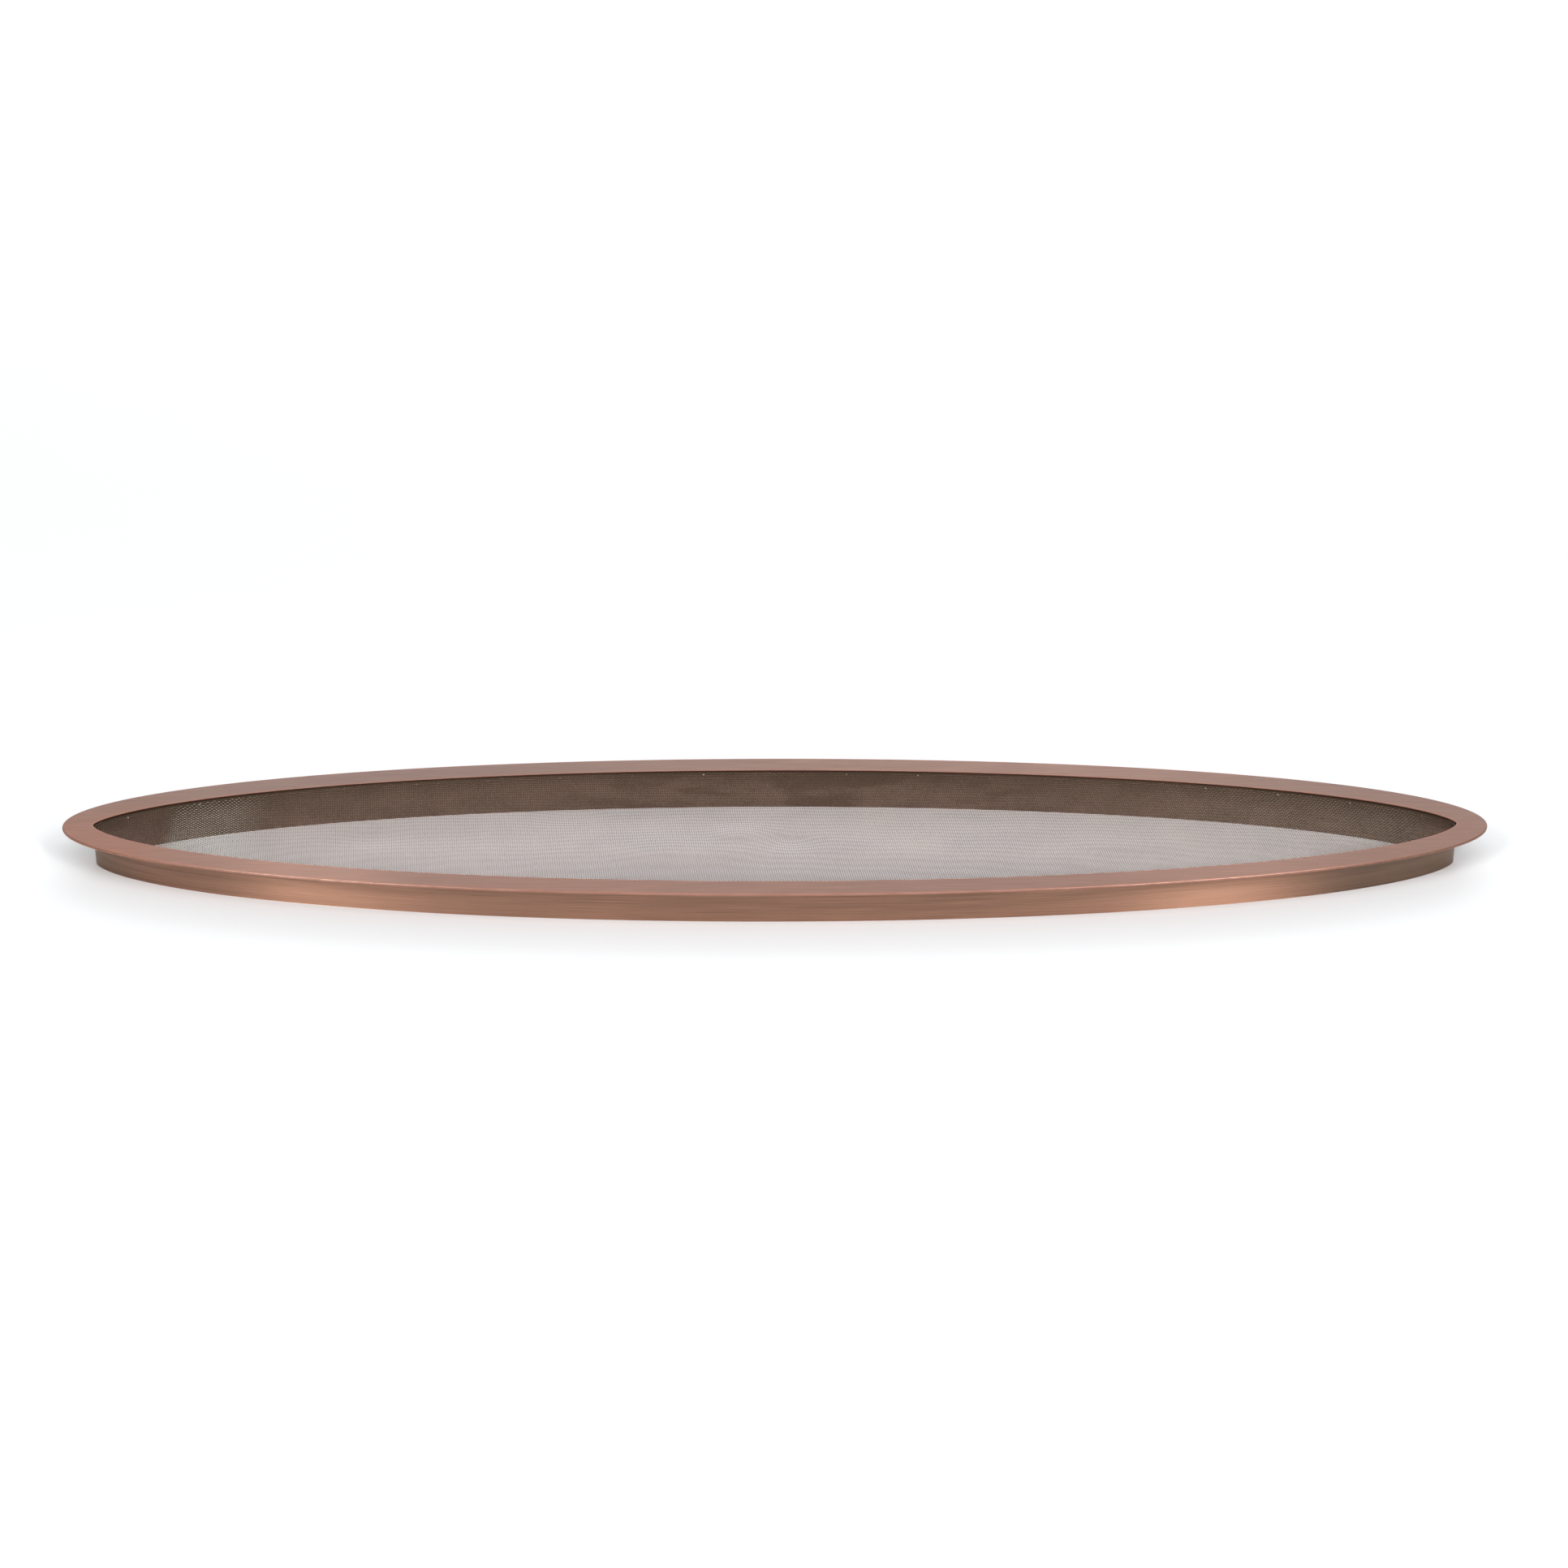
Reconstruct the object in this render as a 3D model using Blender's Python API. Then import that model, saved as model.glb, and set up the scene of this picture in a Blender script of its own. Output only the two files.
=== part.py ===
"""A long oval drop-in strainer: a flat rim, an upright skirt under it and a wire screen between them.

Metres, +Z up and +X along the length. The origin is the middle of the footprint, on the surface that
the skirt's lower edge stands on. The skirt is two bent strips, which meet at the pointed ends.
"""

import math

import bmesh
import bpy
from mathutils import Vector

# Driving dimensions
LENGTH = 0.540  # rim, end to end
WIDTH = 0.110  # rim, across the middle
HEIGHT = 0.0165  # skirt's lower edge to the rim's top face
SHEET = 0.0010  # the metal of the rim and of the skirt
RIM_BREADTH = 0.0100  # flat of the rim, along the sides
OPENING_LENGTH = 0.5168
SKIRT_LENGTH = 0.5172  # outside, end to end
SKIRT_WIDTH = 0.0929  # outside, across the middle, as the two strips are drawn
SCREEN_DEPTH = 0.0023  # rim's top face down to the top of the wires
SCREEN_THICKNESS = 0.0004  # two crossed wires
TACK_RADIUS = 0.0004
TACK_SPACING = 0.028
GAP = 0.0003  # between pieces that touch
OUTLINE_POINTS = 128

# Levels, from the surface that the skirt stands on
RIM_TOP = HEIGHT
RIM_UNDERSIDE = RIM_TOP - SHEET
SKIRT_TOP = RIM_UNDERSIDE - GAP
SCREEN_TOP = RIM_TOP - SCREEN_DEPTH
SCREEN_UNDERSIDE = SCREEN_TOP - SCREEN_THICKNESS
TACK_LEVEL = SCREEN_TOP + GAP + TACK_RADIUS


def ellipse(half_length, half_width):
    """Points of an ellipse, anticlockwise from the +X end."""
    turns = [2 * math.pi * i / OUTLINE_POINTS for i in range(OUTLINE_POINTS)]
    return [Vector((half_length * math.cos(turn), half_width * math.sin(turn))) for turn in turns]


def inset(outline, distance):
    """The closed outline moved inwards by the distance, along each point's own normal."""
    moved = []
    for i, point in enumerate(outline):
        along = outline[(i + 1) % len(outline)] - outline[i - 1]
        inwards = Vector((-along.y, along.x)).normalized()
        moved.append(point + distance * inwards)
    return moved


def stretched(outline, half_length, half_width):
    """The outline scaled along X and Y to the half length and half width."""
    along = half_length / max(point.x for point in outline)
    across = half_width / max(point.y for point in outline)
    return [Vector((point.x * along, point.y * across)) for point in outline]


def rear_half(outline):
    """The points at +Y, from the +X end to the -X end."""
    return outline[: OUTLINE_POINTS // 2 + 1]


def spaced(outline, spacing):
    """Points at an even spacing around the outline, the first half a spacing from the +X end."""
    corners = outline + outline[:1]
    lengths = [(b - a).length for a, b in zip(corners, corners[1:])]
    count = 2 * round(sum(lengths) / spacing / 2)
    step = sum(lengths) / count
    found = []
    passed = 0.0
    for start, end, length in zip(corners, corners[1:], lengths):
        while len(found) < count and (len(found) + 0.5) * step <= passed + length:
            share = ((len(found) + 0.5) * step - passed) / length
            found.append(start.lerp(end, share))
        passed += length
    return found


def material(name, colour, roughness):
    made = bpy.data.materials.new(name)
    made.use_nodes = True
    shader = made.node_tree.nodes["Principled BSDF"]
    shader.inputs["Base Color"].default_value = (*colour, 1.0)
    shader.inputs["Roughness"].default_value = roughness
    shader.inputs["Metallic"].default_value = 1.0
    return made


def plate(name, outlines, low, high, finish, shift=0.0):
    """A flat piece between two levels: the first outline is its edge, and any other one a hole."""
    curve = bpy.data.curves.new(name, "CURVE")
    curve.dimensions = "2D"
    curve.fill_mode = "BOTH"
    curve.extrude = (high - low) / 2
    for outline in outlines:
        spline = curve.splines.new("POLY")
        spline.points.add(len(outline) - 1)
        for point, place in zip(spline.points, outline):
            point.co = (place.x, place.y, 0.0, 1.0)
        spline.use_cyclic_u = True
    curve.materials.append(finish)
    piece = bpy.data.objects.new(name, curve)
    piece.location = (0.0, shift, (low + high) / 2)
    strainer.objects.link(piece)
    return piece


def tack_welds(places, level, radius, finish):
    """A small round weld at each place, numbered anticlockwise from the +X end. They share one mesh."""
    shape = bmesh.new()
    bmesh.ops.create_uvsphere(shape, u_segments=8, v_segments=6, radius=radius)
    mesh = bpy.data.meshes.new("tack_weld")
    shape.to_mesh(mesh)
    shape.free()
    mesh.shade_smooth()
    mesh.materials.append(finish)
    for number, place in enumerate(places, start=1):
        weld = bpy.data.objects.new(f"tack_weld_{number:02d}", mesh)
        weld.location = (place.x, place.y, level)
        strainer.objects.link(weld)


for old in list(bpy.data.objects):
    bpy.data.objects.remove(old, do_unlink=True)

strainer = bpy.data.collections.new("oval_drop_in_strainer")
bpy.context.scene.collection.children.link(strainer)

rim_finish = material("copper_rim", (0.42, 0.22, 0.16), 0.32)
skirt_front_finish = material("copper_skirt_front", (0.36, 0.19, 0.12), 0.34)
skirt_rear_finish = material("copper_skirt_rear", (0.36, 0.19, 0.12), 0.34)
screen_finish = material("steel_wire", (0.36, 0.33, 0.30), 0.30)
weld_finish = material("steel_weld", (0.62, 0.56, 0.50), 0.22)

# The opening follows the rim's edge at an even breadth, and a little more at the two ends
rim_edge = ellipse(LENGTH / 2, WIDTH / 2)
opening = stretched(inset(rim_edge, RIM_BREADTH), OPENING_LENGTH / 2, WIDTH / 2 - RIM_BREADTH)

# The skirt stands under the opening's edge, which just hides its inner face from straight above
skirt_outside = stretched(opening, SKIRT_LENGTH / 2, SKIRT_WIDTH / 2)
skirt_inside = inset(skirt_outside, SHEET)
skirt_strip = rear_half(skirt_outside) + rear_half(skirt_inside)[::-1]
front_strip = [Vector((point.x, -point.y)) for point in skirt_strip]

# The screen's ends are too sharp to inset, so its outline is the skirt's inner face drawn in a little
screen_edge = stretched(
    skirt_inside,
    max(point.x for point in skirt_inside) - 3 * GAP,
    max(point.y for point in skirt_inside) - GAP,
)
tack_line = inset(skirt_inside, GAP + TACK_RADIUS)

plate("rim", [rim_edge, opening], RIM_UNDERSIDE, RIM_TOP, rim_finish)
plate("skirt_rear", [skirt_strip], 0.0, SKIRT_TOP, skirt_rear_finish, shift=GAP / 2)
plate("skirt_front", [front_strip], 0.0, SKIRT_TOP, skirt_front_finish, shift=-GAP / 2)
plate("screen", [screen_edge], SCREEN_UNDERSIDE, SCREEN_TOP, screen_finish)
tack_welds(spaced(tack_line, TACK_SPACING), TACK_LEVEL, TACK_RADIUS, weld_finish)
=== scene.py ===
"""Looks for the long oval drop-in strainer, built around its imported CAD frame.

The rim and the two skirt strips are brushed antique copper under a thin lacquer. The screen is a real plain
weave: every wire is a mesh tube that passes over and under its neighbours, and it is held to the skirt by
small beads of weld. Lengths are in metres and angles in radians.
"""

import math
from typing import NamedTuple

import bmesh
import bpy
import numpy as np
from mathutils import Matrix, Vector, noise


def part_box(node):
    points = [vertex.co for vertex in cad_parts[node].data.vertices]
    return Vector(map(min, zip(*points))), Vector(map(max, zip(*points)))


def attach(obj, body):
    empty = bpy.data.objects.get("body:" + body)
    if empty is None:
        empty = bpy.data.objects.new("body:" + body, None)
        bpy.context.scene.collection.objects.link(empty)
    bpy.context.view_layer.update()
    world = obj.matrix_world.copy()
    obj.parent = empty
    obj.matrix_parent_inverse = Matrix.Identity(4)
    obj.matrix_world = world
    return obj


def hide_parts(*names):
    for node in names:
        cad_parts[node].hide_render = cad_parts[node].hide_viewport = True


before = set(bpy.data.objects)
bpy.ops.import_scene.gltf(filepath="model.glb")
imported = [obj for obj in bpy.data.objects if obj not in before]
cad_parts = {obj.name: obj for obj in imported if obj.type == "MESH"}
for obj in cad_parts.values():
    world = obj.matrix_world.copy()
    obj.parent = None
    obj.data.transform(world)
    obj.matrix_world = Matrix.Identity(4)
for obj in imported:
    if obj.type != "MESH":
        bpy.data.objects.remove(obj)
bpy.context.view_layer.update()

rim_low, rim_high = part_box("rim")
front_low, front_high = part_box("skirt_front")
rear_low, rear_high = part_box("skirt_rear")
screen_low, screen_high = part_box("screen")
tack_nodes = sorted(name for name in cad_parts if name.startswith("tack_weld"))

# Sheet metal: the same outline rules as the CAD solids, on a finer outline with rounded edges
RIM_BREADTH = 0.0100
OPENING_LENGTH = 0.5168
SHEET = rim_high.z - rim_low.z
RIM_EDGE_ROUND = 0.00030
SKIRT_EDGE_ROUND = 0.00030
WELDED_EDGE_ROUND = 0.00002  # the skirt's upper edge is welded shut against the rim
UNDER_RIM_SHADE = 0.0006  # how far under the rim the skirt is darkened, as a dark joint and as painted shadow under the rim's lip
SEAM_GAP = rear_low.y - front_high.y
RIM_MARGIN = 0.0011  # breadth of the worn margin along the rim's edges, which also carries a painted highlight
SKIRT_MARGIN = 0.45 * SHEET
OUTLINE_POINTS = 720
CORNER_STEPS = 4
PAST_CORNER = 1.35  # where the flats beside a rounded corner start, in radii of the corner

# Wire cloth: 30 wires to the inch, sagging a little between its welds
WIRE = 0.000120
PITCH = 0.0254 / 30
SKEW = -0.10  # how far along x the cross wires lean for each metre of y
SAG = 0.0028
EDGE_RISE = 0.0011  # how far the cloth turns up at the walls, and the distance that this dies away over
EDGE_REACH = 0.0030
WIRE_SIDES = 4
FULLNESS = 1.10  # a four-sided tube this much fatter covers as much as a round wire
BANDS = 3
SPARE_WIRES = 2  # counted past the skirt's box, for the wires that the lean brings back into it
SPARE_CROSSINGS = 16
DENTS = (  # x, y, spread along x, spread along y, rise
    (-0.014, 0.004, 0.010, 0.006, -0.0009),
    (0.006, -0.006, 0.009, 0.006, 0.0008),
    (-0.035, -0.012, 0.030, 0.012, -0.0009),
    (-0.075, 0.014, 0.016, 0.008, 0.0006),
    (-0.150, -0.004, 0.016, 0.007, 0.0005),
    (0.060, 0.012, 0.030, 0.010, 0.0004),
    (0.130, -0.010, 0.014, 0.006, -0.0004),
)
RIPPLE = 0.00012
RIPPLE_LENGTH = 0.055
RIPPLE_SLANT = 0.6
CROSS_RIPPLE = 0.7  # waves, for each of the first's, of a second ripple that crosses it at a steeper slant
CROSS_SLANT = -2.1

# Wear and painted light. Two mesh attributes hold where the weave is raised and where a sheet's edge is near
CREST = "crest"
MARGIN = "margin"
WEAR_AND_LIGHT_MIDDLE = -0.020  # edge wear and painted highlight are strongest, and painted end shade weakest, a little left of the strainer's middle
WEAR_AND_LIGHT_REACH = (0.205, 0.245)  # wear and painted highlight along the outer edges fade, and painted shade at the ends builds up, between these distances from its middle
# Stretches along x: where one starts, is full, starts to fade and ends, and how strong it is
# the cloth's crests are worn bare in these stretches and carry painted glints, strongest near the left end
GLINTING_CLOTH = (
    (-0.233, -0.226, -0.212, -0.190, 0.95),
    (-0.205, -0.180, 0.120, 0.200, 0.10),
    (0.120, 0.200, 0.240, 0.252, 0.32),
)
SMUDGED_CLOTH = ((-0.095, -0.050, 0.080, 0.130, 0.8),)
DARKER_FRONT_CLOTH = ((-0.130, -0.050, 0.090, 0.160, 0.95),)
DARKER_FRONT_FROM = (-0.008, -0.034)  # y between which the cloth gets darker towards the front
# stretches at the front where the copper carries a painted highlight of the front lamps
HIGHLIT_COPPER_STRETCHES = (
    (-0.218, -0.180, -0.165, -0.125, 1.0),
    (0.115, 0.155, 0.180, 0.215, 0.35),
)

# Beads of weld, in a row under the rim's inner edge
BEAD_ALONG = 0.00038
BEAD_OUT = 0.00030
BEAD_UP = 0.00026
BEAD_UNEVEN = 0.22
BEAD_LUMPS = 1.6  # how closely a bead's lumps are packed
BEAD_VARIETY = 900  # how fast the lumps change from one bead's place to the next
BEAD_ROUGHNESS = 0.30


# ---------------------------------------------------------------------------------------------
# Outlines


def ellipse(half_length, half_width):
    turns = np.arange(OUTLINE_POINTS) * 2 * math.pi / OUTLINE_POINTS
    return np.stack([half_length * np.cos(turns), half_width * np.sin(turns)], axis=1)


def inset(outline, distance):
    along = np.roll(outline, -1, axis=0) - np.roll(outline, 1, axis=0)
    inwards = np.stack([-along[:, 1], along[:, 0]], axis=1)
    return outline + distance * inwards / np.linalg.norm(inwards, axis=1)[:, None]


def stretched(outline, half_length, half_width):
    return outline * np.array([half_length, half_width]) / outline.max(axis=0)


rim_edge = ellipse(rim_high.x, rim_high.y)
opening = stretched(inset(rim_edge, RIM_BREADTH), OPENING_LENGTH / 2, rim_high.y - RIM_BREADTH)
skirt_outside = stretched(opening, rear_high.x, rear_high.y - SEAM_GAP / 2)
skirt_inside = inset(skirt_outside, SHEET)
half = OUTLINE_POINTS // 2
inside_rear = skirt_inside[: half + 1][::-1]


def half_width_at(x):
    """Half the clear width between the skirt's walls at x, or less than nothing past its ends."""
    return np.interp(x, inside_rear[:, 0], inside_rear[:, 1], left=-1.0, right=-1.0)


# ---------------------------------------------------------------------------------------------
# Meshes


def finish_piece(name, mesh, material, replaced):
    """Puts a finished mesh in the scene as one piece that stands for the replaced CAD nodes."""
    mesh.shade_smooth()
    mesh.materials.append(material)
    piece = bpy.data.objects.new(name, mesh)
    bpy.context.scene.collection.objects.link(piece)
    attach(piece, "root")
    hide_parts(*replaced)


def quad_mesh(name, points, quads):
    mesh = bpy.data.meshes.new(name)
    mesh.vertices.add(len(points))
    mesh.vertices.foreach_set("co", points.astype(np.float32).ravel())
    mesh.loops.add(quads.size)
    mesh.loops.foreach_set("vertex_index", quads.astype(np.int32).ravel())
    mesh.polygons.add(len(quads))
    mesh.polygons.foreach_set("loop_start", np.arange(len(quads), dtype=np.int32) * 4)
    mesh.update(calc_edges=True)
    return mesh


def rounded_corner(radius, margin):
    """Points (distance in from the edge, distance from the face) round one corner. A point just past each end
    of the arc keeps the flats beside it flat when they are shaded smooth, and one at the margin's breadth
    lets the wear and painted highlight along the edge fade out there."""
    past = PAST_CORNER * radius
    corner = [(0.0, past)]
    for step in range(CORNER_STEPS + 1):
        turn = math.pi / 2 * step / CORNER_STEPS
        corner.append((radius * (1 - math.cos(turn)), radius * (1 - math.sin(turn))))
    corner.append((past, 0.0))
    corner.append((margin, 0.0))
    return corner


def rounded_section(low, high, low_radius, high_radius, margin):
    """Points round a sheet's section as (0 for the outer edge or 1 for the inner, distance in, level)."""
    upper = rounded_corner(high_radius, margin)
    lower = rounded_corner(low_radius, margin)
    outer_top = [(0, across, high - down) for across, down in upper]
    inner_top = [(1, across, high - down) for across, down in upper[::-1]]
    inner_low = [(1, across, low + rise) for across, rise in lower]
    outer_low = [(0, across, low + rise) for across, rise in lower[::-1]]
    return outer_top + inner_top + inner_low + outer_low


def sheet_rings(outer, inner, section):
    """One ring of section points at each pair of outline points."""
    across = inner - outer
    unit = across / np.linalg.norm(across, axis=1)[:, None]
    rows = []
    for edge, distance, level in section:
        base = outer + distance * unit if edge == 0 else inner - distance * unit
        rows.append(np.column_stack([base, np.full(len(base), level)]))
    return np.stack(rows, axis=1)


def mark_margin(mesh, section, margin):
    """Stores how worn each point is, and how much painted highlight it gets, by how near it is to the sheet's
    edge: 1 on the edge and 0 a margin away from it. The outer edge gets less of both towards the ends."""
    near = np.array([max(0.0, 1 - distance / margin) for _, distance, _ in section])
    outer = np.array([edge == 0 for edge, _, _ in section])
    x = np.array([vertex.co.x for vertex in mesh.vertices]).reshape(-1, len(section))
    kept = np.clip((WEAR_AND_LIGHT_REACH[1] - np.abs(x - WEAR_AND_LIGHT_MIDDLE)) / (WEAR_AND_LIGHT_REACH[1] - WEAR_AND_LIGHT_REACH[0]), 0, 1)
    values = mesh.attributes.new(MARGIN, "FLOAT", "POINT")
    values.data.foreach_set("value", (near * np.where(outer, kept, 1.0)).astype(np.float32).ravel())


def loft(name, rings, closed):
    """A skin of quads over rings of points, with a flat cap at each end of an open run."""
    count, around = rings.shape[:2]
    faces = []
    for i in range(count if closed else count - 1):
        a = i * around
        b = (i + 1) % count * around
        for k in range(around):
            n = (k + 1) % around
            faces.append((a + k, a + n, b + n, b + k))
    if not closed:
        faces.append(tuple(range(around)))
        faces.append(tuple((count - 1) * around + k for k in range(around)))
    mesh = bpy.data.meshes.new(name)
    mesh.from_pydata([tuple(p) for p in rings.reshape(-1, 3)], [], faces)
    shape = bmesh.new()
    shape.from_mesh(mesh)
    bmesh.ops.recalc_face_normals(shape, faces=shape.faces)
    shape.to_mesh(mesh)
    shape.free()
    return mesh


# ---------------------------------------------------------------------------------------------
# Materials


class Nodes:
    """Short calls for building one material's node tree."""

    def __init__(self, name, metallic, roughness):
        self.material = bpy.data.materials.new(name)
        self.material.use_nodes = True
        self.tree = self.material.node_tree
        self.shader = self.tree.nodes["Principled BSDF"]
        self.shader.inputs["Metallic"].default_value = metallic
        self.shader.inputs["Roughness"].default_value = roughness
        self.places = self.add("ShaderNodeTexCoord")

    def add(self, kind, **settings):
        made = self.tree.nodes.new(kind)
        for key, value in settings.items():
            setattr(made, key, value)
        return made

    def feed(self, socket, value):
        if isinstance(value, bpy.types.NodeSocket):
            self.tree.links.new(value, socket)
        else:
            socket.default_value = value

    def set(self, name, value):
        self.feed(self.shader.inputs[name], value)

    def noise(self, scale, detail=2.0, roughness=0.55, seed=0.0):
        """Noise from 0 to 1 in the object's own coordinates, with its own scale along each axis."""
        mapping = self.add("ShaderNodeMapping")
        self.feed(mapping.inputs["Vector"], self.places.outputs["Object"])
        mapping.inputs["Scale"].default_value = scale
        mapping.inputs["Location"].default_value = (seed, seed, seed)
        texture = self.add("ShaderNodeTexNoise")
        self.feed(texture.inputs["Vector"], mapping.outputs["Vector"])
        texture.inputs["Scale"].default_value = 1.0
        texture.inputs["Detail"].default_value = detail
        texture.inputs["Roughness"].default_value = roughness
        return texture.outputs["Fac"]

    def math(self, operation, a, b=0.0):
        made = self.add("ShaderNodeMath", operation=operation)
        self.feed(made.inputs[0], a)
        self.feed(made.inputs[1], b)
        return made.outputs[0]

    def vector(self, operation, a, b=None):
        made = self.add("ShaderNodeVectorMath", operation=operation)
        self.feed(made.inputs[0], a)
        if b is not None:
            self.feed(made.inputs[1], b)
        return made.outputs["Value" if operation == "DOT_PRODUCT" else "Vector"]

    def span(self, value, low, high, to_low=0.0, to_high=1.0):
        """Maps low…high smoothly to to_low…to_high."""
        made = self.add("ShaderNodeMapRange", interpolation_type="SMOOTHSTEP")
        self.feed(made.inputs["Value"], value)
        made.inputs["From Min"].default_value = low
        made.inputs["From Max"].default_value = high
        made.inputs["To Min"].default_value = to_low
        made.inputs["To Max"].default_value = to_high
        return made.outputs["Result"]

    def mix(self, share, a, b, blend="MIX"):
        """From a at share 0 to b at share 1. Each of them is a socket, a colour or a plain number."""
        made = self.add("ShaderNodeMix", data_type="RGBA", blend_type=blend)
        self.feed(made.inputs["Factor"], share)
        colour_a, colour_b = made.inputs[6:8]
        for socket, value in ((colour_a, a), (colour_b, b)):
            self.feed(socket, (value, value, value, 1) if isinstance(value, float) else value)
        return made.outputs[2]

    def stretches(self, along, spans):
        """The sum of stretches that rise and fall along one coordinate, each as (start, full, fade, end,
        amount)."""
        total = 0.0
        for start, full, fade, end, amount in spans:
            rising = self.span(along, start, full)
            falling = self.span(along, fade, end, amount, 0.0)
            total = self.math("ADD", self.math("MULTIPLY", rising, falling), total)
        return total

    def split(self, vector):
        made = self.add("ShaderNodeSeparateXYZ")
        self.feed(made.inputs[0], vector)
        return made.outputs

    def attribute(self, name):
        return self.add("ShaderNodeAttribute", attribute_name=name).outputs["Fac"]

    def bump(self, height, strength, distance):
        made = self.add("ShaderNodeBump")
        made.inputs["Strength"].default_value = strength
        made.inputs["Distance"].default_value = distance
        self.feed(made.inputs["Height"], height)
        self.set("Normal", made.outputs["Normal"])


COPPER_BARE = (0.450, 0.165, 0.098, 1)
COPPER_WORN = (0.440, 0.218, 0.158, 1)
# painted highlight tones, on the rim and on the skirt's lower edge
COPPER_PAINTED_HIGHLIGHT = (0.590, 0.320, 0.235, 1)
EDGE_PAINTED_HIGHLIGHT = (0.950, 0.680, 0.560, 1)
# painted shade on the upright faces at the strainer's ends
COPPER_END_SHADE = (0.194, 0.129, 0.085, 1)
FRONT_TO_BACK = (-0.035, 0.035)  # y between which the front's tones turn into the back's
BRUSH_ROUGHNESS = (0.32, 0.48)
BRUSH_DEPTH = 0.00003
RECESS_ROUGHNESS = 0.70
LACQUER = 0.55
LACQUER_ROUGHNESS = 0.30
BARE_MARGIN = 0.60
# how much more painted highlight the margins get
MARGIN_HIGHLIGHT_SHARE = 0.45
UNCOVERED = 1.0  # a level far above the strainer


class Edges(NamedTuple):
    """How the edges of a sheet are worn and highlit, and how much painted shade the upright faces get with
    them.
    """

    start: float  # how much a surface faces up where the rubbing starts, is full, starts to fade and ends
    full: float
    fade: float
    end: float
    left_at_ends: float  # how much of it is left at the strainer's ends
    end_shade: float  # how much painted shade the upright faces get there
    painted_highlight: tuple  # the edge's painted highlight tone in the lit stretches


class Copper(NamedTuple):
    """One finish of brushed copper."""

    front: tuple  # tone of the flats at the front
    back: tuple
    inside: tuple  # tone of the faces that look into the opening
    contrast: float  # how much paler and darker than the tone its brush lines are
    relief: float  # how strongly the brush lines stand out
    flat_highlight: float  # how much of the painted highlight the flats get in a lit stretch
    across: str  # the axis across the brush lines
    fine: tuple  # how closely the brush lines are packed along each axis
    coarse: tuple  # the same for the broader bands that they form
    edges: Edges
    dark_from: float  # level above which the metal is darkened, where another sheet covers it and in painted shadow under the rim
    tints_and_painted_light: tuple  # changes of patina along x, with painted light and shade along the back: where one starts and is full, its front and back colours


RIM_COPPER = Copper(
    # the warmer front and greyer back tones are a painted reflection
    front=(0.290, 0.131, 0.085),
    back=(0.268, 0.142, 0.103),
    inside=(0.085, 0.050, 0.036, 1),
    contrast=0.08,
    relief=0.10,
    flat_highlight=0.32,
    across="Y",
    fine=(50, 2300, 50),
    coarse=(14, 500, 14),
    edges=Edges(
        start=-0.55, full=-0.10, fade=0.86, end=0.99, left_at_ends=0.45, end_shade=0.0, painted_highlight=COPPER_PAINTED_HIGHLIGHT
    ),
    dark_from=UNCOVERED,
    tints_and_painted_light=(
        # along the back these tints are painted light and shade
        (-0.215, -0.250, (1.05, 0.85, 0.69), (0.96, 0.87, 0.80)),
        (-0.020, -0.130, (1.0, 1.0, 1.0), (0.89, 0.91, 0.91)),
        (-0.030, 0.050, (0.96, 0.97, 0.98), (1.08, 1.05, 1.02)),
        (0.120, 0.200, (1.0, 1.0, 1.0), (0.87, 0.89, 0.90)),
        (0.165, 0.255, (0.82, 0.78, 0.75), (0.84, 0.82, 0.82)),
    ),
)
SKIRT_COPPER = Copper(
    front=(0.354, 0.186, 0.120),
    back=(0.354, 0.186, 0.120),
    inside=(0.138, 0.099, 0.068, 1),
    contrast=0.13,
    relief=0.18,
    flat_highlight=0.0,
    across="Z",
    fine=(24, 24, 3200),
    coarse=(24, 24, 500),
    edges=Edges(
        start=-0.98, full=-0.85, fade=-0.30, end=-0.04, left_at_ends=0.0, end_shade=0.75, painted_highlight=EDGE_PAINTED_HIGHLIGHT
    ),
    dark_from=rim_low.z - UNDER_RIM_SHADE,
    tints_and_painted_light=(),
)


def scaled(tone, factor):
    return (*(factor * part for part in tone), 1)


def brushed_tone(made, look, place, streaks):
    """Tone of the flats: streaked along the brush lines, blotched with patina, and tinted along the length
    with patina and painted light.
    """
    bands = made.noise(look.coarse, detail=2.0, seed=3.7)
    patina = made.noise((14, 14, 14), detail=3.0, roughness=0.6, seed=8.1)
    brushed = made.math("ADD", made.math("MULTIPLY", streaks, 0.75), made.math("MULTIPLY", bands, 0.25))
    towards_back = made.span(place[1], *FRONT_TO_BACK)
    shades = []
    for factor in (1 - look.contrast, 1 + look.contrast):
        shades.append(made.mix(towards_back, scaled(look.front, factor), scaled(look.back, factor)))
    tone = made.mix(made.span(brushed, 0.36, 0.64), *shades)
    tone = made.mix(made.span(patina, 0.40, 0.70, 0.0, 0.35), tone, scaled(look.back, 0.88))
    # tints of patina along x, with painted light and shade along the back
    for start, full, front, back in look.tints_and_painted_light:
        tint = made.mix(towards_back, (*front, 1), (*back, 1))
        tone = made.mix(made.span(place[0], start, full), tone, tint, "MULTIPLY")
    return tone


def painted_highlight_and_bare(made, look, tone, painted_highlight):
    """The tone with a painted highlight in the lit stretches, stronger along the margins, and redder along
    the worn margins. Only the rim stores its margins, and elsewhere there are none."""
    margin = made.attribute(MARGIN)
    share = made.math("ADD", look.flat_highlight, made.math("MULTIPLY", margin, MARGIN_HIGHLIGHT_SHARE))
    tone = made.mix(made.math("MULTIPLY", painted_highlight, share), tone, COPPER_PAINTED_HIGHLIGHT)
    return made.mix(made.math("MULTIPLY", margin, BARE_MARGIN), tone, COPPER_BARE)


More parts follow.
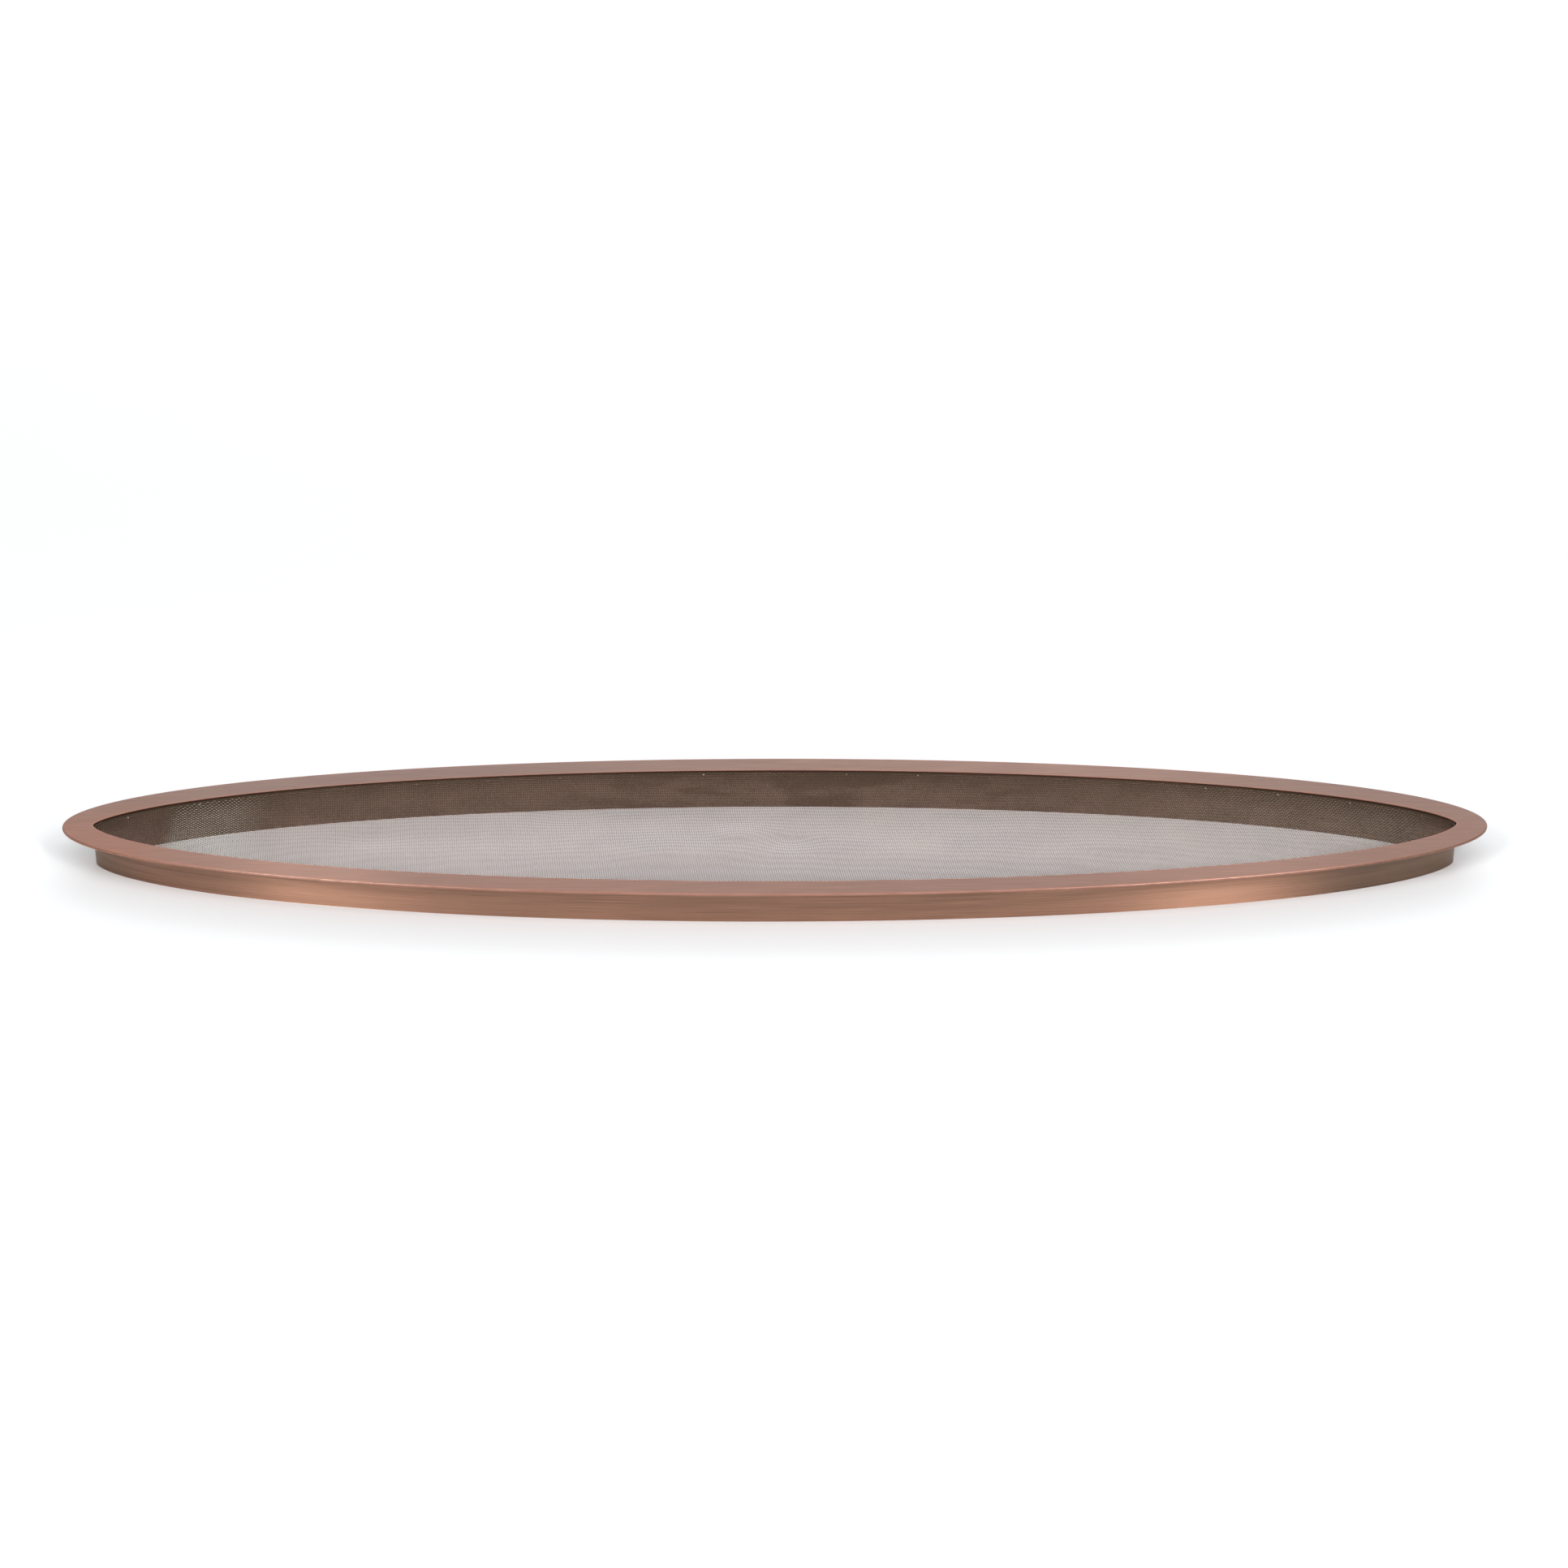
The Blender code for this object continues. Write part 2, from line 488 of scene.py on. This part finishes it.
def rubbed_and_highlit_edges(made, edges, tone, at_ends, upwards, streaks, painted_highlight):
    """The tone made paler on the worn rounded edges, with a painted highlight in the lit stretches, less so
    at the strainer's ends.
    """
    worn_and_highlit = made.stretches(upwards, ((edges.start, edges.full, edges.fade, edges.end, 1.0),))
    worn_and_highlit = made.math("MULTIPLY", worn_and_highlit, made.span(streaks, 0.25, 0.75, 0.85, 1.0))
    worn_and_highlit = made.math("MULTIPLY", worn_and_highlit, made.mix(at_ends, 1.0, edges.left_at_ends))
    return made.mix(worn_and_highlit, tone, made.mix(painted_highlight, COPPER_WORN, edges.painted_highlight))


def brushed_copper(name, look):
    """Brushed copper darkened by age under a thin lacquer, with a painted highlight in the lit stretches at
    the front.
    Upright faces carry painted shade near the ends, and are darkest where they look into the opening, where
    another sheet covers them and in the painted shadow just under the rim. Highlights spread across the brush
    lines."""
    made = Nodes(name, 1.0, BRUSH_ROUGHNESS[0])
    place = made.split(made.places.outputs["Object"])
    upwards = made.split(made.places.outputs["Normal"])[2]
    streaks = made.noise(look.fine, detail=3.0, roughness=0.6)
    near_front = made.span(place[1], FRONT_TO_BACK[0], 0.0, 1.0, 0.0)
    # painted highlight in the lit stretches at the front
    painted_highlight = made.math("MULTIPLY", made.stretches(place[0], HIGHLIT_COPPER_STRETCHES), near_front)
    from_middle = made.math("ABSOLUTE", made.math("SUBTRACT", place[0], WEAR_AND_LIGHT_MIDDLE))
    at_ends = made.span(from_middle, *WEAR_AND_LIGHT_REACH)
    upright = made.stretches(upwards, ((-0.60, -0.25, 0.40, 0.75, 1.0),))
    # painted shade on the upright faces towards the ends
    painted_end_shade = made.math("MULTIPLY", made.math("MULTIPLY", at_ends, look.edges.end_shade), upright)

    tone = brushed_tone(made, look, place, streaks)
    tone = painted_highlight_and_bare(made, look, tone, painted_highlight)
    tone = rubbed_and_highlit_edges(made, look.edges, tone, at_ends, upwards, streaks, painted_highlight)
    tone = made.mix(painted_end_shade, tone, COPPER_END_SHADE)

    # Square to the rim's ellipse, away from the middle
    outwards = made.vector("MULTIPLY", made.places.outputs["Object"], (rim_high.x**-2, rim_high.y**-2, 0))
    facing = made.vector("DOT_PRODUCT", made.places.outputs["Normal"], made.vector("NORMALIZE", outwards))
    inwards = made.math("MULTIPLY", made.span(facing, -0.5, -0.2, 1.0, 0.0), upright)
    # dark joint where the rim covers the skirt, and painted shadow on the skirt just under the rim's lip
    joint_and_rim_shadow = made.span(place[2], look.dark_from, look.dark_from + UNDER_RIM_SHADE / 2)
    recess = made.math("MAXIMUM", inwards, joint_and_rim_shadow)
    exposed = made.math("SUBTRACT", 1.0, recess)
    smooth = made.span(streaks, 0.32, 0.68, BRUSH_ROUGHNESS[1], BRUSH_ROUGHNESS[0])
    direction = made.add("ShaderNodeCombineXYZ")
    direction.inputs[look.across].default_value = 1.0

    made.set("Base Color", made.mix(recess, tone, look.inside))
    made.set("Roughness", made.mix(recess, smooth, RECESS_ROUGHNESS))
    made.set("Anisotropic", exposed)
    made.set("Tangent", direction.outputs[0])
    made.set("Coat Weight", made.math("MULTIPLY", exposed, LACQUER))
    made.set("Coat Roughness", LACQUER_ROUGHNESS)
    made.bump(streaks, look.relief, BRUSH_DEPTH)
    return made.material


WIRE_DARK = (0.160, 0.101, 0.078, 1)
WIRE_PALE = (0.265, 0.168, 0.131, 1)
WIRE_DRAWN = (0.325, 0.222, 0.170, 1)
WIRE_DARKENED = (0.105, 0.058, 0.043, 1)
# painted bounce light: a bright reddish underside that reddens the floor seen through the cloth
WIRE_PAINTED_BOUNCE = (0.85, 0.36, 0.28, 1)
# painted shade in the hollows between the glinting crests
WIRE_HOLLOW_SHADE = (0.050, 0.033, 0.025, 1)
# painted glint on the worn crests of the weave
WIRE_PAINTED_GLINT = (0.98, 0.90, 0.74, 1)
HOLLOW_SHADE_SHARE = 0.65


def drawn_wire():
    """Drawn wire with a dull bronze tone, a little uneven, smudged near the middle and darker towards the
    front, with a bright reddish underside that is painted bounce light for the floor seen through the cloth.
    In stretches, strongest near its ends, the crests of the weave are worn bare and carry painted glints, and
    painted shade fills the hollows between them."""
    made = Nodes("drawn_wire", 1.0, 0.3)
    place = made.split(made.places.outputs["Object"])
    stain = made.noise((60, 60, 60), detail=3.0, seed=1.3)
    smudge = made.noise((30, 85, 30), detail=3.0, seed=2.9)
    drawn = made.noise((900, 900, 2500), detail=1.0, seed=5.2)
    tone = made.mix(made.span(stain, 0.3, 0.7), WIRE_DARK, WIRE_PALE)
    tone = made.mix(made.span(drawn, 0.35, 0.75, 0.0, 0.5), tone, WIRE_DRAWN)

    smudged = made.math("MULTIPLY", made.stretches(place[0], SMUDGED_CLOTH), made.span(smudge, 0.46, 0.60))
    # the cloth is darker towards the front
    darker_front = made.math("MULTIPLY", made.stretches(place[0], DARKER_FRONT_CLOTH), made.span(place[1], *DARKER_FRONT_FROM))
    tone = made.mix(made.math("MAXIMUM", smudged, darker_front), tone, WIRE_DARKENED)
    # painted bounce light on the downward faces of the wires
    painted_bounce = made.span(made.split(made.places.outputs["Normal"])[2], -0.70, -0.50, 1.0, 0.0)
    tone = made.mix(painted_bounce, tone, WIRE_PAINTED_BOUNCE)

    crest = made.span(made.attribute(CREST), 0.40, 0.80)
    glint_stretch = made.stretches(place[0], GLINTING_CLOTH)
    # painted shade in the hollows between the glinting crests
    painted_hollow_shade = made.math("MULTIPLY", glint_stretch, made.math("SUBTRACT", 1.0, crest))
    tone = made.mix(made.math("MULTIPLY", painted_hollow_shade, HOLLOW_SHADE_SHARE), tone, WIRE_HOLLOW_SHADE)
    # crests worn bare, with painted glints of light and less roughness
    worn_and_highlit = made.math("MULTIPLY", glint_stretch, crest)
    worn_and_highlit = made.math("MULTIPLY", worn_and_highlit, made.span(drawn, 0.25, 0.55, 0.35, 1.0))
    made.set("Base Color", made.mix(worn_and_highlit, tone, WIRE_PAINTED_GLINT))
    made.set("Roughness", made.mix(worn_and_highlit, made.span(drawn, 0.3, 0.7, 0.55, 0.42), 0.25))
    return made.material


WELD_BRIGHT = (0.66, 0.58, 0.47, 1)
WELD_SCALED = (0.36, 0.27, 0.19, 1)
WELD_DULL = (0.20, 0.15, 0.11, 1)


def weld_metal():
    """Slightly scaled solidified weld, bright on some beads and dull on others."""
    made = Nodes("weld_metal", 1.0, BEAD_ROUGHNESS)
    scale = made.noise((2500, 2500, 2500), detail=2.0)
    dullness = made.noise((110, 110, 110), detail=1.0, seed=2.4)
    tone = made.mix(made.span(scale, 0.35, 0.7), WELD_BRIGHT, WELD_SCALED)
    tone = made.mix(made.span(dullness, 0.42, 0.58), tone, WELD_DULL)
    made.set("Base Color", tone)
    made.set("Roughness", made.span(scale, 0.3, 0.7, BEAD_ROUGHNESS, 0.42))
    return made.material


# ---------------------------------------------------------------------------------------------
# Rim and skirt

section = rounded_section(rim_low.z, rim_high.z, RIM_EDGE_ROUND, RIM_EDGE_ROUND, RIM_MARGIN)
mesh = loft("rim_sheet", sheet_rings(rim_edge, opening, section), True)
mark_margin(mesh, section, RIM_MARGIN)
finish_piece("rim_sheet", mesh, brushed_copper("rim_copper", RIM_COPPER), ["rim"])

section = rounded_section(front_low.z, rim_low.z, SKIRT_EDGE_ROUND, WELDED_EDGE_ROUND, SKIRT_MARGIN)
copper = brushed_copper("skirt_copper", SKIRT_COPPER)
for name, node, side in (("skirt_rear_strip", "skirt_rear", 1), ("skirt_front_strip", "skirt_front", -1)):
    turned = np.array([1, side])
    outer = skirt_outside[: half + 1] * turned
    inner = skirt_inside[: half + 1] * turned
    mesh = loft(name, sheet_rings(outer, inner, section), False)
    finish_piece(name, mesh, copper, [node])


# ---------------------------------------------------------------------------------------------
# Woven screen


def cloth_level(x, y):
    """Height of the cloth's middle plane: turned up at the walls, and sagging and dented between them."""
    width = np.maximum(half_width_at(x), PITCH)
    share = np.clip(1 - (y / width) ** 2, 0, 1)
    level = -SAG * np.clip(width / rear_high.y, 0, 1)
    for dent_x, dent_y, spread_x, spread_y, rise in DENTS:
        level = level + rise * np.exp(-(((x - dent_x) / spread_x) ** 2) - ((y - dent_y) / spread_y) ** 2)
    wave = 2 * math.pi / RIPPLE_LENGTH
    crossing = np.cos(CROSS_RIPPLE * wave * (x + CROSS_SLANT * y))
    level = level + RIPPLE * np.sin(wave * (x + RIPPLE_SLANT * y)) * crossing
    turned_up = EDGE_RISE * np.exp((np.abs(y) - width) / EDGE_REACH)
    return (screen_low.z + screen_high.z) / 2 + level * share + turned_up


def wire_path(number, lengthwise, crossings):
    """One wire's centre line: a point over or under each crossing, ending at the skirt's walls."""
    if lengthwise:
        y = np.full(len(crossings), number * PITCH)
        x = crossings * PITCH + SKEW * y
    else:
        y = crossings * PITCH
        x = number * PITCH + SKEW * y
    over = (crossings + number) % 2 == 0
    lift = np.where(over == lengthwise, 0.5, -0.5) * WIRE
    clear = half_width_at(x) - np.abs(y)
    inside = np.flatnonzero(clear > 0)
    if len(inside) == 0:
        return None
    first = inside[0]
    last = inside[-1]
    rows = np.column_stack([x, y, lift])
    ends = []
    for edge, beyond in ((first, first - 1), (last, last + 1)):
        share = clear[edge] / (clear[edge] - max(clear[beyond], -clear[edge]))
        ends.append(rows[edge] + share * (rows[beyond] - rows[edge]))
    rows = np.vstack([ends[0], rows[first : last + 1], ends[1]])
    rows[:, 2] += cloth_level(rows[:, 0], rows[:, 1])
    return rows


def tube(path):
    """Points of a thin tube along a path, whose sides stay aligned with straight up."""
    along = np.gradient(path, axis=0)
    along /= np.linalg.norm(along, axis=1)[:, None]
    side = np.cross(along, [0.0, 0.0, 1.0])
    side /= np.linalg.norm(side, axis=1)[:, None]
    top = np.cross(side, along)
    turns = (np.arange(WIRE_SIDES) + 0.5) * 2 * math.pi / WIRE_SIDES
    ring = np.cos(turns)[:, None, None] * side + np.sin(turns)[:, None, None] * top
    return path[:, None, :] + FULLNESS * WIRE / 2 * ring.transpose(1, 0, 2)


def tube_quads(count, first):
    k = np.arange(WIRE_SIDES)
    n = (k + 1) % WIRE_SIDES
    rows = first + np.arange(count - 1)[:, None] * WIRE_SIDES
    sides = np.stack([rows + k, rows + WIRE_SIDES + k, rows + WIRE_SIDES + n, rows + n], axis=2)
    caps = first + np.stack([k, k + (count - 1) * WIRE_SIDES])
    caps[0] = caps[0][::-1]
    return np.concatenate([sides.reshape(-1, 4), caps])


def weave_band(name, lengthwise, part, material):
    """The wires of one direction in one of the bands that the cloth is split into."""
    reach = int((rear_high.y if lengthwise else rear_high.x) / PITCH) + SPARE_WIRES
    span = int((rear_high.x if lengthwise else rear_high.y) / PITCH) + SPARE_CROSSINGS
    numbers = np.array_split(np.arange(-reach, reach + 1), BANDS)[part]
    points = []
    quads = []
    crests = []
    first = 0
    for number in numbers:
        path = wire_path(number, lengthwise, np.arange(-span, span + 1))
        if path is None:
            continue
        points.append(tube(path).reshape(-1, 3))
        raised = path[:, 2] > cloth_level(path[:, 0], path[:, 1])
        crests.append(np.repeat(raised & lengthwise, WIRE_SIDES))
        quads.append(tube_quads(len(path), first))
        first += len(path) * WIRE_SIDES
    mesh = quad_mesh(name, np.concatenate(points), np.concatenate(quads))
    crest = mesh.attributes.new(CREST, "FLOAT", "POINT")
    crest.data.foreach_set("value", np.concatenate(crests).astype(np.float32))
    finish_piece(name, mesh, material, ["screen"])


wire_material = drawn_wire()
for part in range(BANDS):
    weave_band(f"screen_long_wires_{part + 1}", True, part, wire_material)
    weave_band(f"screen_cross_wires_{part + 1}", False, part, wire_material)


# ---------------------------------------------------------------------------------------------
# Beads of weld


def bead_mesh(name, node):
    """A small uneven lump fused to the wall and the cloth beside one CAD tack."""
    low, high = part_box(node)
    place = (low + high) / 2
    nearest = skirt_inside[np.argmin(np.hypot(skirt_inside[:, 0] - place.x, skirt_inside[:, 1] - place.y))]
    wall = Vector((nearest[0] - place.x, nearest[1] - place.y, 0)).normalized()
    along = wall.cross(Vector((0, 0, 1)))
    centre = place + wall * (BEAD_OUT / 2) - Vector((0, 0, BEAD_UP / 2))
    shape = bmesh.new()
    bmesh.ops.create_icosphere(shape, subdivisions=3, radius=1.0)
    for vertex in shape.verts:
        point = vertex.co.copy()
        point *= 1 + BEAD_UNEVEN * noise.noise(BEAD_LUMPS * point + place * BEAD_VARIETY)
        vertex.co = centre + along * (point.x * BEAD_ALONG) + wall * (point.y * BEAD_OUT)
        vertex.co.z += point.z * BEAD_UP
    bmesh.ops.recalc_face_normals(shape, faces=shape.faces)
    mesh = bpy.data.meshes.new(name)
    shape.to_mesh(mesh)
    shape.free()
    return mesh


weld_material = weld_metal()
for node in tack_nodes:
    name = node.replace("tack_weld", "weld_bead")
    finish_piece(name, bead_mesh(name, node), weld_material, [node])


# ---------------------------------------------------------------------------------------------
# Floor, lights and camera

FLOOR_SIZE = 14.0
FLOOR_WHITE = 0.87
# painted light: the floor's far part behind the strainer is whiter
FLOOR_WHITE_BEHIND = 0.99
BEHIND = (0.2, 0.9)  # y between which painted light makes the floor whiter
WORLD_STRENGTH = 0.44
LIGHT_COLOUR = (0.972, 0.988, 1.0)


def white_paper():
    """Plain white studio paper with a faint unevenness, and painted light that makes it whiter in the
    distance behind the strainer.
    """
    made = Nodes("white_paper", 0.0, 0.9)
    mottle = made.noise((6, 6, 6), detail=2.0)
    behind = made.span(made.split(made.places.outputs["Object"])[1], *BEHIND)
    shade = made.mix(mottle, FLOOR_WHITE - 0.01, FLOOR_WHITE)
    made.set("Base Color", made.mix(behind, shade, FLOOR_WHITE_BEHIND))
    return made.material


bpy.ops.mesh.primitive_plane_add(size=FLOOR_SIZE, location=(0, 0, 0))
floor = bpy.context.object
floor.name = "floor"
floor.data.materials.append(white_paper())

world = bpy.data.worlds.new("studio")
world.use_nodes = True
world.node_tree.nodes["Background"].inputs["Color"].default_value = (*LIGHT_COLOUR, 1)
world.node_tree.nodes["Background"].inputs["Strength"].default_value = WORLD_STRENGTH
bpy.context.scene.world = world


def softbox(name, azimuth, elevation, distance, width, height, brightness):
    """A soft panel aimed at the strainer; azimuth turns from straight in front towards the right."""
    light = bpy.data.lights.new(name, "AREA")
    light.shape = "RECTANGLE"
    light.color = LIGHT_COLOUR
    light.size = width
    light.size_y = height
    light.energy = brightness * math.pi * width * height
    lamp = bpy.data.objects.new(name, light)
    level = math.radians(elevation)
    turn = math.radians(azimuth)
    ray = Vector((math.sin(turn) * math.cos(level), -math.cos(turn) * math.cos(level), math.sin(level)))
    lamp.location = ray * distance
    lamp.rotation_euler = (-ray).to_track_quat("-Z", "Y").to_euler()
    bpy.context.scene.collection.objects.link(lamp)


softbox("rear_panel", azimuth=174, elevation=35, distance=2.6, width=2.7, height=1.6, brightness=1.55)
softbox("front_top", azimuth=10, elevation=58, distance=2.6, width=2.4, height=1.0, brightness=3.4)
softbox("front_low", azimuth=0, elevation=14, distance=2.6, width=2.6, height=0.5, brightness=1.4)
softbox("front_left", azimuth=-32.7, elevation=35, distance=3.0, width=0.36, height=1.1, brightness=23.5)
softbox("front_right", azimuth=31.3, elevation=35, distance=3.0, width=0.36, height=1.1, brightness=26)

ELEVATION = math.radians(27.8)
DISTANCE = 1.389
LENS = 84.1
SENSOR = 36.0
AIM_RIGHT = 0.0034
AIM_UP = 0.0151

centre = Vector((0.0, 0.0, rim_high.z))
forward = Vector((0.0, math.cos(ELEVATION), -math.sin(ELEVATION)))
up = Vector((0.0, math.sin(ELEVATION), math.cos(ELEVATION)))
place = centre - DISTANCE * forward
aim = centre + AIM_RIGHT * Vector((1, 0, 0)) + AIM_UP * up
camera_data = bpy.data.cameras.new("camera")
camera_data.lens = LENS
camera_data.sensor_width = SENSOR
camera = bpy.data.objects.new("camera", camera_data)
camera.location = place
camera.rotation_euler = (aim - place).to_track_quat("-Z", "Y").to_euler()
bpy.context.scene.collection.objects.link(camera)
bpy.context.scene.camera = camera
bpy.context.scene.view_settings.view_transform = "Standard"
